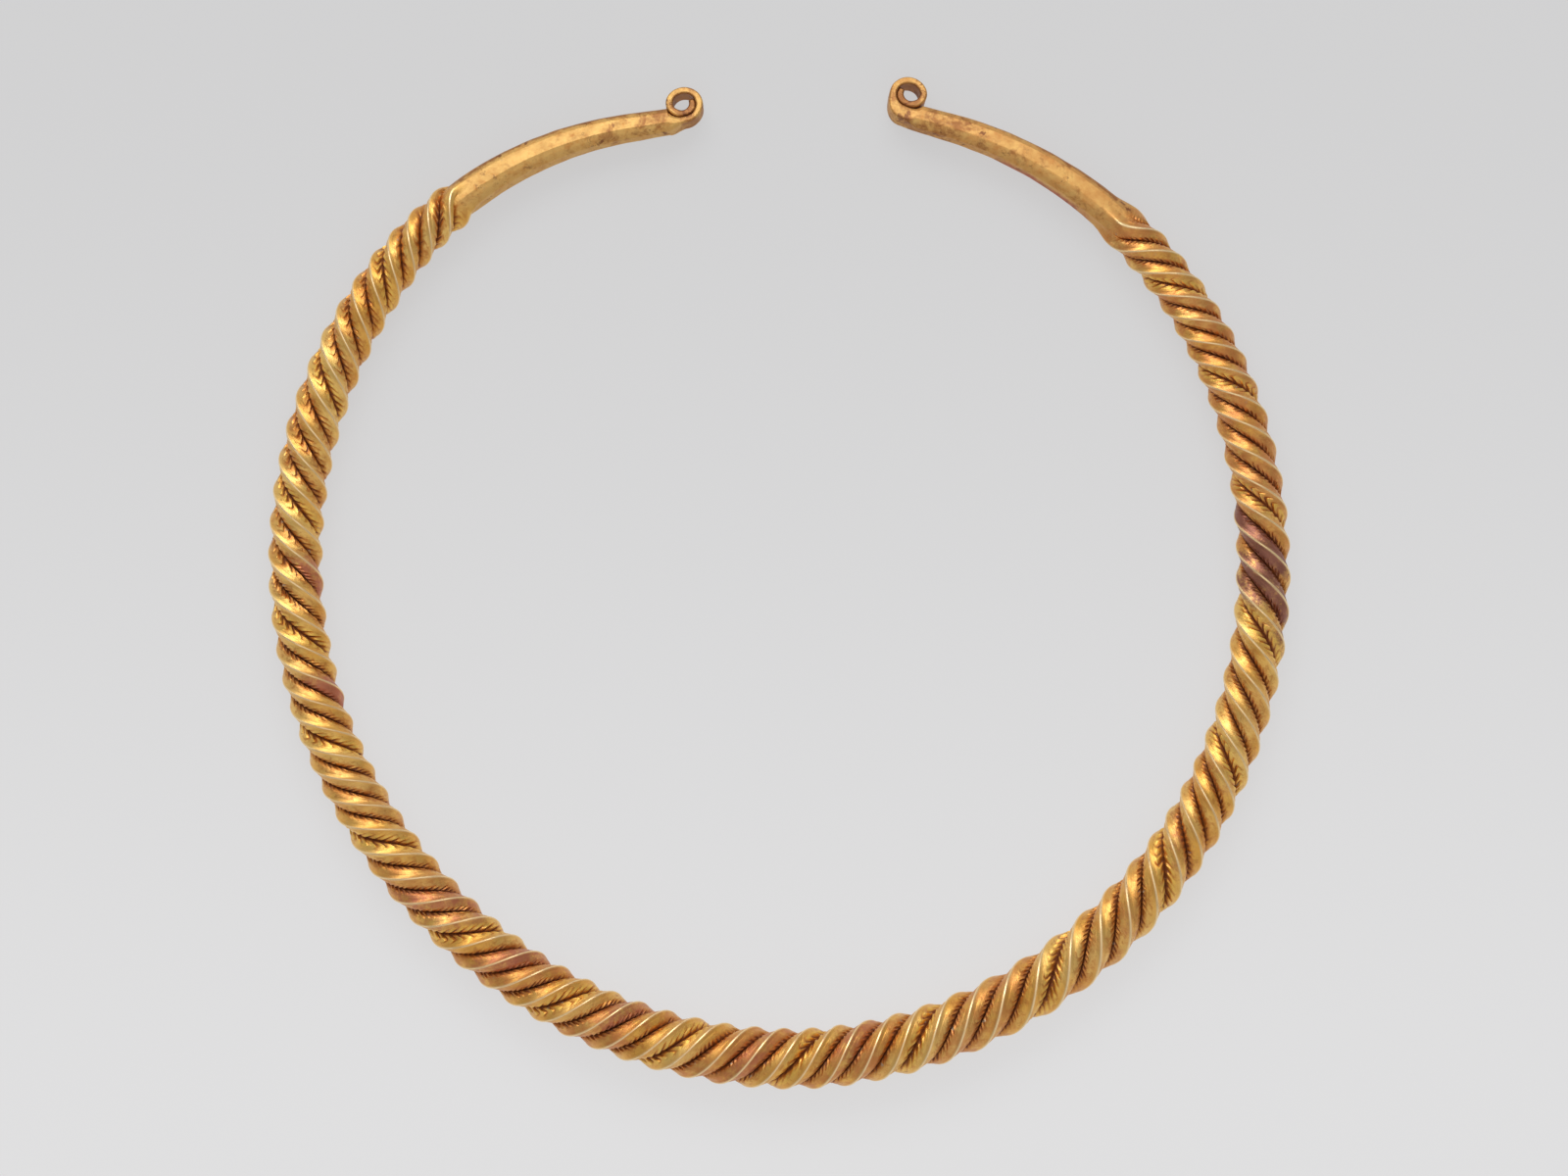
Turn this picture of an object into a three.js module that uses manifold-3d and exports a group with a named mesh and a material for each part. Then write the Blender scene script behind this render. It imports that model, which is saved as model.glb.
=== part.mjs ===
// Gold torc: one bar wrought with four ridges, twisted left-handed and bent into an open ring.
// Each end is drawn out into a plain eight-sided bar whose tip is curled outward into a small eye.
// The torc lies flat. Millimetres, +Z up, +X across the ring, the opening toward +Y.
// "Station" is the distance along the bar from the front of the ring, counterclockwise from above.

import * as THREE from 'three';
import { mergeVertices } from 'three/addons/utils/BufferGeometryUtils.js';
import Module from 'manifold-3d';

const wasm = await Module();
wasm.setup();

// ---------------------------------------------------------------- driving dimensions

// Centreline of the bar in plan: it starts at the front and runs round each side in four arcs.
const FRONT_POINT = new THREE.Vector2(-1.65, -74.29);
const FRONT_HEADING = THREE.MathUtils.degToRad(-3.22);
const RIGHT_ARCS = [
  { radius: 62.56, sweep: 10.96 },
  { radius: 75.21, sweep: 61.07 },
  { radius: 79.9, sweep: 39.37 },
  { radius: 68.69, sweep: 54.72 },
];
const LEFT_ARCS = [
  { radius: 77.37, sweep: 31.77 },
  { radius: 80.6, sweep: 32.54 },
  { radius: 75.61, sweep: 59.35 },
  { radius: 56.12, sweep: 44.88 },
];

// The centreline lies in a plane that is lower toward the opening, where the bar is thinner.
const CENTRE_HEIGHT = 4.26;
const CENTRE_SLOPE = -0.0062;

// Twist, in quarter turns made since the left end, at every TWIST_STEP from the left end.
const TWIST_HALF_LENGTH = 180;
const TWIST_STEP = 15;
const QUARTER_TURNS = [
  0.04, 3.51, 6.71, 9.75, 12.89, 15.92, 19.31, 22.72, 25.87, 29.06, 32.3, 35.46, 38.55,
  41.74, 44.72, 47.19, 49.57, 52.19, 55.29, 58.23, 61.01, 64.06, 67.16, 70.67, 73.97,
];
const FIRST_QUARTER_TURN = -0.47;
const LAST_QUARTER_TURN = 74.03;
const ROWS_PER_QUARTER_TURN = 3;

// Crest radius of the twisted bar at every CREST_STEP from the left end.
const CREST_STEP = 30;
const CREST_RADII = [3.63, 4.13, 4.27, 4.37, 4.6, 4.77, 4.81, 4.84, 4.75, 4.43, 4.27, 4.0, 3.62];

// Section of one ridge, as fractions of the crest radius and degrees from the crest.
const RIDGES = 4;
const FLANK = { fraction: 0.83, angle: 27 };
const GROOVE = { fraction: 0.62, angle: 45 };
const AROUND = 16;

// Plain eight-sided ends. The ridges run out into them between BLEND_START and BAR_START.
const BAR_ROLL = THREE.MathUtils.degToRad(20);
const BLEND_START = 181;
const BLEND_ROWS = [0.3, 0.7];
const BAR_START = 185.5;
const BAR_ROWS = [0, 0.25, 0.5, 0.75, 1];
const BAR_FLAT_TO_CENTRE = { start: 2.62, end: 1.92 };
const EYE_STATION = 220.2;
const OCTAGON_CHAMFER = 2 - Math.SQRT2;

// Shoulder between the bar and the strip: distances back from the eye's station.
const SHOULDER = 2.8;
const SHOULDER_THIN = 0.5;
const SHOULDER_ROWS = [2.35, 1.9, 1.35, 0.7];
const LARGEST_CHAMFER = 0.3;

// Eyes: the strip's outer turn is one arc, and it runs on inside as a smaller arc.
const STRIP_THICKNESS = 0.94;
const TIP_THICKNESS = 0.62;
const TIP_THINNING_ANGLE = 225;
const STRIP_CHAMFER = 0.12;
const OUTER_TURN_RADIUS = 2.48;
const INNER_TURN_RADIUS = 1.84;
const TURN_CHANGE_ANGLE = 145;
const CURL_START_ANGLE = -90;
const CURL_END_ANGLE = 378;
const CURL_STEP = 26;
const COIL_GAP = 0.14;
const LEFT_END = {
  side: -1,
  eyeOffset: 2.3,
  barShift: 0.28,
  stripHalfWidth: 1.55,
  rootExtra: 0.12,
  rootFade: 40,
};
const RIGHT_END = {
  side: 1,
  eyeOffset: 2.36,
  barShift: -0.44,
  stripHalfWidth: 1.7,
  rootExtra: 1.3,
  rootFade: 80,
};

// Block that the worn underside is cut with.
const GROUND_SIZE = 250;
const GROUND_DEPTH = 10;

const GOLD = { color: 0xc8963c, roughness: 0.34, metalness: 1 };

// ---------------------------------------------------------------- small helpers

const lerp = THREE.MathUtils.lerp;
const clamp = THREE.MathUtils.clamp;
const smoothstep = THREE.MathUtils.smoothstep;
const radians = THREE.MathUtils.degToRad;

// Smooth curve through evenly spaced values.
function throughValues(values, position) {
  const last = values.length - 1;
  const index = clamp(Math.floor(position), 0, last - 1);
  const t = position - index;
  const before = index > 0 ? values[index - 1] : 2 * values[0] - values[1];
  const after = index + 2 <= last ? values[index + 2] : 2 * values[last] - values[last - 1];
  const [a, b] = [values[index], values[index + 1]];
  const square = 2 * before - 5 * a + 4 * b - after;
  const cube = 3 * (a - b) + after - before;
  return a + 0.5 * t * (b - before + t * (square + t * cube));
}

function quarterTurnsAt(station) {
  const turns = throughValues(QUARTER_TURNS, (station + TWIST_HALF_LENGTH) / TWIST_STEP);
  return clamp(turns, FIRST_QUARTER_TURN, LAST_QUARTER_TURN);
}

function crestRadiusAt(station) {
  return throughValues(CREST_RADII, (station + TWIST_HALF_LENGTH) / CREST_STEP);
}

// Station where the twist has made a given number of quarter turns, by halving.
function stationOfTurns(turns) {
  let [low, high] = [-TWIST_HALF_LENGTH - TWIST_STEP, TWIST_HALF_LENGTH + TWIST_STEP];
  for (let i = 0; i < 40; i += 1) {
    const middle = (low + high) / 2;
    const reached = throughValues(QUARTER_TURNS, (middle + TWIST_HALF_LENGTH) / TWIST_STEP);
    [low, high] = reached < turns ? [middle, high] : [low, middle];
  }
  return low;
}

// ---------------------------------------------------------------- centreline

// Point and direction of the centreline in plan, with the outward direction of the ring.
function planAt(station) {
  const side = station < 0 ? -1 : 1;
  const arcs = side < 0 ? LEFT_ARCS : RIGHT_ARCS;
  const point = FRONT_POINT.clone();
  let heading = FRONT_HEADING + (side < 0 ? Math.PI : 0);
  let left = Math.abs(station);
  for (const { radius, sweep } of arcs) {
    const length = Math.min(left, radius * radians(sweep));
    const turned = heading + side * (length / radius);
    point.x += side * radius * (Math.sin(turned) - Math.sin(heading));
    point.y -= side * radius * (Math.cos(turned) - Math.cos(heading));
    heading = turned;
    left -= length;
  }
  point.x += left * Math.cos(heading);
  point.y += left * Math.sin(heading);
  const travel = new THREE.Vector3(Math.cos(heading), Math.sin(heading), 0);
  const outward = new THREE.Vector3(side * travel.y, -side * travel.x, 0);
  return { point, travel, outward };
}

// Frame of the bar: up and outward are rolled together about the bar, as the eight-sided ends are.
function frameAt(station) {
  const { point, travel, outward } = planAt(station);
  const height = CENTRE_HEIGHT + CENTRE_SLOPE * point.y;
  const centre = new THREE.Vector3(point.x, point.y, height);
  const vertical = new THREE.Vector3(0, 0, 1);
  const [cos, sin] = [Math.cos(BAR_ROLL), Math.sin(BAR_ROLL)];
  const up = vertical.clone().multiplyScalar(cos).addScaledVector(outward, sin);
  const out = outward.clone().multiplyScalar(cos).addScaledVector(vertical, -sin);
  return { centre, travel, up, out };
}

// ---------------------------------------------------------------- sections

// Sixteen points of a box with cut corners, from the middle of its upper face toward outward.
function chamferedBox(halfUp, low, high, chamfer) {
  const [middle, halfOut] = [(low + high) / 2, (high - low) / 2];
  const quarter = [
    [halfUp, 0],
    [halfUp, halfOut - chamfer],
    [halfUp - chamfer / 2, halfOut - chamfer / 2],
    [halfUp - chamfer, halfOut],
    [0, halfOut],
  ];
  const points = [
    ...quarter,
    ...quarter.slice(1, 4).reverse().map(([u, v]) => [-u, v]),
    ...quarter.slice(0, 4).map(([u, v]) => [-u, -v]),
    ...quarter.slice(1, 5).reverse().map(([u, v]) => [u, -v]),
  ];
  return points.map(([u, v]) => [u, v + middle]);
}

function octagon(flatToCentre, shift) {
  const chamfer = flatToCentre * OCTAGON_CHAMFER;
  return chamferedBox(flatToCentre, shift - flatToCentre, shift + flatToCentre, chamfer);
}

// Four ridges with sharp crests and vee grooves, the first crest at a given angle.
function ridged(crestRadius, firstCrest) {
  const profile = [
    { fraction: 1, angle: 0 },
    FLANK,
    GROOVE,
    { fraction: FLANK.fraction, angle: 2 * GROOVE.angle - FLANK.angle },
  ];
  const points = [];
  for (let ridge = 0; ridge < RIDGES; ridge += 1) {
    for (const { fraction, angle } of profile) {
      const turn = firstCrest + radians(angle + (360 / RIDGES) * ridge);
      points.push([crestRadius * fraction * Math.cos(turn), crestRadius * fraction * Math.sin(turn)]);
    }
  }
  return points;
}

function blend(from, to, t) {
  return from.map(([u, v], i) => [lerp(u, to[i][0], t), lerp(v, to[i][1], t)]);
}

// Angle of the first crest in the rolled frame; the twist turns it backward.
function firstCrestAngle(quarterTurns) {
  return -BAR_ROLL - (Math.PI / 2) * quarterTurns;
}

// The points keep their order along the whole bar, so a plain end starts at the point of its
// section that meets the first crest.
function startedForEnd(points, side) {
  const crest = firstCrestAngle(side < 0 ? FIRST_QUARTER_TURN : LAST_QUARTER_TURN);
  const shift = Math.round((crest / (2 * Math.PI)) * AROUND);
  return points.map((_, i) => points[THREE.MathUtils.euclideanModulo(i + shift, AROUND)]);
}

// ---------------------------------------------------------------- rows of the twisted part

function ridgedSectionAt(station) {
  return ridged(crestRadiusAt(station), firstCrestAngle(quarterTurnsAt(station)));
}

function twistedRows() {
  const rows = [];
  const first = Math.ceil(FIRST_QUARTER_TURN * ROWS_PER_QUARTER_TURN);
  const last = Math.floor(LAST_QUARTER_TURN * ROWS_PER_QUARTER_TURN);
  for (let i = first; i <= last; i += 1) {
    const station = stationOfTurns(i / ROWS_PER_QUARTER_TURN);
    rows.push({ frame: frameAt(station), section: ridgedSectionAt(station) });
  }
  return rows;
}

// ---------------------------------------------------------------- rows of the plain ends

function barFlatAt(distance) {
  const t = (distance - BAR_START) / (EYE_STATION - SHOULDER - BAR_START);
  return lerp(BAR_FLAT_TO_CENTRE.start, BAR_FLAT_TO_CENTRE.end, clamp(t, 0, 1));
}

function barRows({ side, barShift }) {
  const rows = [];
  for (const t of BLEND_ROWS) {
    const station = side * lerp(BLEND_START, BAR_START, t);
    const bar = startedForEnd(octagon(barFlatAt(BAR_START), 0), side);
    rows.push({ frame: frameAt(station), section: blend(ridgedSectionAt(station), bar, t) });
  }
  for (const t of BAR_ROWS) {
    const distance = lerp(BAR_START, EYE_STATION - SHOULDER, t);
    const bar = octagon(barFlatAt(distance), barShift * t * t);
    rows.push({ frame: frameAt(side * distance), section: startedForEnd(bar, side) });
  }
  return rows;
}

// Centre of the smaller arc: it touches the outer turn from inside where the radius changes.
function innerTurnCentre({ eyeOffset }) {
  const turn = radians(TURN_CHANGE_ANGLE);
  const offset = OUTER_TURN_RADIUS - INNER_TURN_RADIUS;
  return new THREE.Vector2(offset * Math.cos(turn), eyeOffset + offset * Math.sin(turn));
}

// The end of the bar is cut away in a hollow where the coil sits on it.
function shoulderRows(end) {
  const { side, eyeOffset, barShift, stripHalfWidth, rootExtra } = end;
  const coil = innerTurnCentre(end);
  const clear = INNER_TURN_RADIUS + STRIP_THICKNESS / 2 + COIL_GAP;
  const flat = BAR_FLAT_TO_CENTRE.end;
  const stripLow = eyeOffset - OUTER_TURN_RADIUS - STRIP_THICKNESS / 2 - rootExtra;
  return SHOULDER_ROWS.map((back) => {
    const reach = clamp(clear ** 2 - (back + coil.x) ** 2, 0, clear ** 2);
    const high = Math.min(barShift + flat, coil.y - Math.sqrt(reach));
    const t = 1 - smoothstep(back, SHOULDER_THIN, SHOULDER);
    const low = lerp(stripLow, barShift - flat, smoothstep(back, 0, SHOULDER));
    const wanted = lerp(flat * OCTAGON_CHAMFER, STRIP_CHAMFER, t);
    const chamfer = Math.min(wanted, (high - low) * LARGEST_CHAMFER);
    const section = chamferedBox(lerp(flat, stripHalfWidth, t), low, high, chamfer);
    const frame = frameAt(side * (EYE_STATION - back));
    return { frame, section: startedForEnd(section, side) };
  });
}

// Rows of the curled strip, from the bar to its tip inside the eye.
function curlRows(end) {
  const { side, eyeOffset, stripHalfWidth, rootExtra, rootFade } = end;
  const base = frameAt(side * EYE_STATION);
  const inner = innerTurnCentre(end);
  const steps = Math.round((CURL_END_ANGLE - CURL_START_ANGLE) / CURL_STEP);
  const rows = [];
  for (let i = 0; i <= steps; i += 1) {
    const angle = lerp(CURL_START_ANGLE, CURL_END_ANGLE, i / steps);
    const outerTurn = angle <= TURN_CHANGE_ANGLE;
    const radius = outerTurn ? OUTER_TURN_RADIUS : INNER_TURN_RADIUS;
    const middle = outerTurn ? new THREE.Vector2(0, eyeOffset) : inner;
    const [cos, sin] = [Math.cos(radians(angle)), Math.sin(radians(angle))];
    const centre = base.centre.clone()
      .addScaledVector(base.travel, middle.x + radius * cos)
      .addScaledVector(base.out, middle.y + radius * sin);
    const toMiddle = base.travel.clone().multiplyScalar(-cos).addScaledVector(base.out, -sin);
    const thinning = smoothstep(angle, TIP_THINNING_ANGLE, CURL_END_ANGLE);
    const thickness = lerp(STRIP_THICKNESS, TIP_THICKNESS, thinning);
    const extra = rootExtra * (1 - smoothstep(angle, CURL_START_ANGLE, CURL_START_ANGLE + rootFade));
    const section = chamferedBox(stripHalfWidth, -thickness / 2 - extra, thickness / 2, STRIP_CHAMFER);
    const frame = { centre, up: base.up, out: toMiddle };
    rows.push({ frame, section: startedForEnd(section, side) });
  }
  return rows;
}

function endRows(end) {
  return [...barRows(end), ...shoulderRows(end), ...curlRows(end)];
}

// ---------------------------------------------------------------- the solid

function withoutShading(geometry) {
  geometry.deleteAttribute('normal');
  geometry.deleteAttribute('uv');
  return mergeVertices(geometry, 1e-5);
}

// A cylinder with one ring of vertices for each row, bent and shaped to the rows.
function sweep(rows) {
  const segments = rows.length - 1;
  const cylinder = new THREE.CylinderGeometry(1, 1, segments, AROUND, segments);
  const geometry = withoutShading(cylinder);
  const position = geometry.attributes.position;
  for (let i = 0; i < position.count; i += 1) {
    const [x, y, z] = [position.getX(i), position.getY(i), position.getZ(i)];
    const { frame, section } = rows[Math.round(y + segments / 2)];
    const onAxis = Math.hypot(x, z) < 0.5;
    const index = (Math.round((Math.atan2(x, z) / (2 * Math.PI)) * AROUND) + AROUND) % AROUND;
    const ends = [section[0], section[AROUND / 2]];
    const middle = [(ends[0][0] + ends[1][0]) / 2, (ends[0][1] + ends[1][1]) / 2];
    const [u, v] = onAxis ? middle : section[index];
    const point = frame.centre.clone().addScaledVector(frame.up, u).addScaledVector(frame.out, v);
    position.setXYZ(i, point.x, point.y, point.z);
  }
  return geometry;
}

function toManifold(geometry) {
  const vertProperties = new Float32Array(geometry.attributes.position.array);
  const triVerts = new Uint32Array(geometry.index.array);
  return new wasm.Manifold(new wasm.Mesh({ numProp: 3, vertProperties, triVerts }));
}

function fromManifold(solid) {
  const mesh = solid.getMesh();
  const geometry = new THREE.BufferGeometry();
  geometry.setAttribute('position', new THREE.BufferAttribute(mesh.vertProperties, 3));
  geometry.setIndex(new THREE.BufferAttribute(mesh.triVerts, 1));
  return geometry;
}

// The lowest crests are worn flat where the torc lies on them.
function wornFlat(geometry) {
  const ground = new THREE.BoxGeometry(GROUND_SIZE, GROUND_SIZE, GROUND_DEPTH);
  const below = ground.translate(0, 0, -GROUND_DEPTH / 2);
  return fromManifold(toManifold(geometry).subtract(toManifold(withoutShading(below))));
}

function makeTorc() {
  const rows = [...endRows(LEFT_END).reverse(), ...twistedRows(), ...endRows(RIGHT_END)];
  const torc = new THREE.Mesh(wornFlat(sweep(rows)), new THREE.MeshStandardMaterial(GOLD));
  torc.name = 'torc';
  return torc;
}

const group = new THREE.Group();
group.add(makeTorc());

export default group;
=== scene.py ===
"""Looks of the gold torc: one finely modelled metal skin over the CAD solid, a pale floor and soft light.

The bar is described by its station (distance along it from the front of the ring, counterclockwise from
above) and by the angle round it. Shapes are worked out in millimetres and turned into metres at the end.
"""

import math

import bpy
import numpy as np
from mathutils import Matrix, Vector, noise


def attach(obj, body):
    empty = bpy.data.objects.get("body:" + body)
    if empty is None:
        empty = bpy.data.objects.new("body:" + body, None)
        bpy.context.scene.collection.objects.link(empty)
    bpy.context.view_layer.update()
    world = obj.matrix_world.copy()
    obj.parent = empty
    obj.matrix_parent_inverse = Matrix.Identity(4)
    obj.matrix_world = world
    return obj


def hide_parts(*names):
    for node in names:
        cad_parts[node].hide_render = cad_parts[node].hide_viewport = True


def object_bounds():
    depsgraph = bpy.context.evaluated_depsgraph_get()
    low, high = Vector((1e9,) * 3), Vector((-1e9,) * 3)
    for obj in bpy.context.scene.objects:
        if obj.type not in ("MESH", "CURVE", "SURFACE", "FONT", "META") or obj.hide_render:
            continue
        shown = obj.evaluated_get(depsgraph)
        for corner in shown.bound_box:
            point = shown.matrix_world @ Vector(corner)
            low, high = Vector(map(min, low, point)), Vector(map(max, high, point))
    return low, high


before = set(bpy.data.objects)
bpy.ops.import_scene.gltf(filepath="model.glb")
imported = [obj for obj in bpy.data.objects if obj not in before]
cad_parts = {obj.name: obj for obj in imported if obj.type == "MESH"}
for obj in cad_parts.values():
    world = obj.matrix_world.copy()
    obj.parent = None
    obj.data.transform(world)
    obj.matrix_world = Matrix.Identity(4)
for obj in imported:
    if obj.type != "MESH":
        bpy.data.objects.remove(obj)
CAD_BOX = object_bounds()

# ---------------------------------------------------------------- the bar's sizes, in millimetres

# The centre line runs from the front point along arcs to either side: radius, and sweep in degrees.
# Its height is the one at the middle of the ring, plus the slope for each millimetre toward the back.
FRONT_POINT = (-1.65, -74.29)
FRONT_HEADING = math.radians(-3.22)
RIGHT_ARCS = ((62.56, 10.96), (75.21, 61.07), (79.9, 39.37), (68.69, 54.72))
LEFT_ARCS = ((77.37, 31.77), (80.6, 32.54), (75.61, 59.35), (56.12, 44.88))
CENTRE_HEIGHT = 4.26
CENTRE_SLOPE = -0.0062

# The twist so far, in quarter turns, at every TWIST_STEP, and the crests' radius at every CREST_STEP.
TWIST_HALF_LENGTH = 180.0
TWIST_STEP = 15.0
QUARTER_TURNS = (
    0.04, 3.51, 6.71, 9.75, 12.89, 15.92, 19.31, 22.72, 25.87, 29.06, 32.3, 35.46, 38.55,
    41.74, 44.72, 47.19, 49.57, 52.19, 55.29, 58.23, 61.01, 64.06, 67.16, 70.67, 73.97,
)
FIRST_QUARTER_TURN = -0.47
LAST_QUARTER_TURN = 74.03
TWIST_EASE = (-1.8, -0.9, 0.0, 0.9, 1.8)
CREST_STEP = 30.0
CREST_RADII = (3.63, 4.13, 4.27, 4.37, 4.6, 4.77, 4.81, 4.84, 4.75, 4.43, 4.27, 4.0, 3.62)

# The plain ends are eight-sided, and the ridges run out into them from BLEND_START to BAR_START. The two
# EARLY_COLUMNS are degrees from a groove, between which this comes GROOVE_ENDS_EARLY sooner.
BAR_ROLL = math.radians(20)
BLEND_START = 180.4
BAR_START = 185.5
GROOVE_ENDS_EARLY = 2.6
EARLY_COLUMNS = (36, 14)
BAR_FLAT_START = 2.62
BAR_FLAT_END = 1.92
EYE_STATION = 220.2
SHOULDER = 2.8
OCTAGON_CUT = 2 - math.sqrt(2)

# The eyes: a strip curled on a wider radius, then on a tighter one, so that its tip lies inside.
STRIP_THICKNESS = 0.94
TIP_THICKNESS = 0.62
STRIP_ROUND = 0.26
INNER_SWELL = 0.16
INNER_STEP = 0.32
ROUNDING = 0.36
OUTER_TURN_RADIUS = 2.48
INNER_TURN_RADIUS = 1.84
TURN_CHANGE = math.radians(145)
CURL_START = math.radians(-90)
CURL_END = math.radians(378)
COIL_GAP = 0.14
# Degrees round the eye between which each of these changes sets in, from the strip's root to its tip.
SWELLING = (-80, 0)
TIP_THINNING = (225, 378)
TIP_STEPPING = (235, 300)
GAP_FILLING = (272, 300)
TIP_NARROWING = (366, 378)
FILLED_GAP = 0.03
TIP_NARROWED = 0.35
# What differs between the left end, -1, and the right end, 1.
ENDS = {
    -1: dict(eye_offset=2.3, bar_shift=0.28, strip_half=1.55, root_extra=0.12, root_fade=40, film=0.26),
    1: dict(eye_offset=2.36, bar_shift=-0.44, strip_half=1.7, root_extra=1.3, root_fade=80, film=0.35),
}

# ---------------------------------------------------------------- the skin's grid

RIDGES = 4
# Columns of half a ridge: degrees from the crest, and the radius there as a part of the crest radius.
COLUMN_ANGLES = (2.0, 4.2, 16.0, 26.0, 32.0, 37.0, 41.5)
COLUMN_RADII = (1.0, 0.966, 0.922, 0.873, 0.838, 0.795, 0.73)
GROOVE_RADIUS = 0.6
# How hollow and how sharp the surface is at each column. The groove itself has a hollow of 1.
# The metal paints hollow places darker and browner: painted shade, with dirt in the grooves.
COLUMN_CAVITIES = (0.0, 0.0, 0.04, 0.1, 0.18, 0.34, 0.7)
COLUMN_ARRISES = (1.0, 0.6, 0.0, 0.0, 0.0, 0.0, 0.0)
# The same columns on the plain ends, where crests and grooves run out on the eight arrises.
END_COLUMN_ANGLES = (1.5, 8.0, 16.0, 24.0, 30.0, 36.0, 43.5)
ROW_STEP = 0.31
TWIST_ROWS_END = 182.5
END_ROWS = 30
SHOULDER_ROWS = 16
CURL_ROWS = 84
SEED = 11
NOISE_SHIFT = (7.3, 3.1, 5.7)
NOISE_GAIN = 1.6


def smooth(x, low, high):
    """Smoothstep from low to high."""
    t = np.clip((x - low) / (high - low), 0.0, 1.0)
    return t * t * (3 - 2 * t)


def through_values(values, position):
    """Smooth curve through evenly spaced values."""
    v = np.array(values, float)
    v = np.concatenate([[2 * v[0] - v[1]], v, [2 * v[-1] - v[-2]]])
    index = np.clip(np.floor(position).astype(int), 0, len(values) - 2)
    t = position - index
    before, a, b, after = v[index], v[index + 1], v[index + 2], v[index + 3]
    square = 2 * before - 5 * a + 4 * b - after
    cube = 3 * (a - b) + after - before
    return a + 0.5 * t * (b - before + t * (square + t * cube))


def quarter_turns(station):
    """The twist up to a station, with its start and end eased."""
    total = 0
    for ease in TWIST_EASE:
        turns = through_values(QUARTER_TURNS, (station + ease + TWIST_HALF_LENGTH) / TWIST_STEP)
        total = total + np.clip(turns, FIRST_QUARTER_TURN, LAST_QUARTER_TURN)
    return total / len(TWIST_EASE)


def crest_radius(station):
    """The radius over the crests."""
    return through_values(CREST_RADII, (station + TWIST_HALF_LENGTH) / CREST_STEP)


def first_crest_angle(turns):
    """The angle of the first crest round the bar, left-handed."""
    return -BAR_ROLL - (math.pi / 2) * turns


def side_frames(station, side):
    """Centre, direction away from the front, and rolled up and outward directions, for one side."""
    heading = np.full(station.shape, FRONT_HEADING + (math.pi if side < 0 else 0.0))
    x = np.full(station.shape, FRONT_POINT[0])
    y = np.full(station.shape, FRONT_POINT[1])
    left = np.abs(station)
    for radius, sweep in LEFT_ARCS if side < 0 else RIGHT_ARCS:
        length = np.minimum(left, radius * math.radians(sweep))
        turned = heading + side * length / radius
        x += side * radius * (np.sin(turned) - np.sin(heading))
        y -= side * radius * (np.cos(turned) - np.cos(heading))
        heading = turned
        left = left - length
    x += left * np.cos(heading)
    y += left * np.sin(heading)
    centre = np.stack([x, y, CENTRE_HEIGHT + CENTRE_SLOPE * y], -1)
    zero = np.zeros_like(x)
    travel = np.stack([np.cos(heading), np.sin(heading), zero], -1)
    outward = np.stack([side * travel[..., 1], -side * travel[..., 0], zero], -1)
    vertical = np.array([0.0, 0.0, 1.0])
    up = vertical * math.cos(BAR_ROLL) + outward * math.sin(BAR_ROLL)
    out = outward * math.cos(BAR_ROLL) - vertical * math.sin(BAR_ROLL)
    return centre, travel, up, out


def frames(station):
    """Frames at any stations, from the two sides."""
    left = side_frames(station, -1)
    right = side_frames(station, 1)
    is_left = (station < 0)[..., None]
    return [np.where(is_left, a, b) for a, b in zip(left, right)]


def noise_grid(points, scale, seed):
    """Smooth noise between about -1 and 1 at many points."""
    shift = Vector([seed * part for part in NOISE_SHIFT])
    flat = points.reshape(-1, 3) * scale
    values = [noise.noise(Vector(p) + shift) for p in flat]
    return np.array(values).reshape(points.shape[:-1]) * NOISE_GAIN


# ---------------------------------------------------------------- columns round the bar


def mirrored(values, middle):
    """Values from one crest to the next, given from the crest to the groove, with the groove's own."""
    return np.array(list(values) + [middle] + list(reversed(values)))


def ridge_angles(angles):
    """Angles from the first crest of every column, when each ridge has the same ones."""
    one = np.concatenate([angles, [45.0], 90.0 - np.array(angles)[::-1]])
    return np.radians(np.concatenate([one + 90.0 * ridge for ridge in range(RIDGES)]))


TWIST_ANGLES = ridge_angles(COLUMN_ANGLES)
END_ANGLES = ridge_angles(END_COLUMN_ANGLES)
AROUND = len(TWIST_ANGLES)
PER_RIDGE = AROUND // RIDGES
GROOVE_OF = np.arange(AROUND) // PER_RIDGE
FROM_GROOVE = np.degrees(TWIST_ANGLES) - 90.0 * GROOVE_OF - 45.0
SECTION = np.tile(mirrored(COLUMN_RADII, GROOVE_RADIUS), RIDGES)
CAVITY = np.tile(mirrored(COLUMN_CAVITIES, 1.0), RIDGES)
ARRIS = np.tile(mirrored(COLUMN_ARRISES, 0.0), RIDGES)

# One groove stands open: its bottom is raised by a part of the crest radius, its sides turned by degrees.
OPEN_GROOVE = 3
OPEN_RISE = 0.04
OPEN_TURN = 1.4
# How many millimetres the rows run ahead at BARB_REACH degrees from the groove, on its two sides.
BARB_REACH = 17.0
BARB_NEAR, BARB_FAR = 0.46, 1.52
# Stations between which the barbs come to spread back instead of forward, and forward again.
BACK_FROM = (-14, -2)
BACK_TO = (84, 70)
BACK_AT_LEFT_END = (-178, -166)
# A barb is cut in two rows of the skin, and a leaf in three. The first row lies deepest. Pushes along the
# bar are parts of a row's step.
BARB_RISE = (-1.0, 0.4)
BARB_PUSH = (0.0, 0.5)
LEAF_RISE = (-1.0, -0.25, 0.32)
LEAF_PUSH = (0.0, 0.1, 0.55)
# Stations: left of the first all grooves carry leaves, and between the two others the barbs lengthen.
LEAVES_END = -118.0
LEAFY_FROM, LEAFY_FULL = -105.0, -125.0
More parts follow.
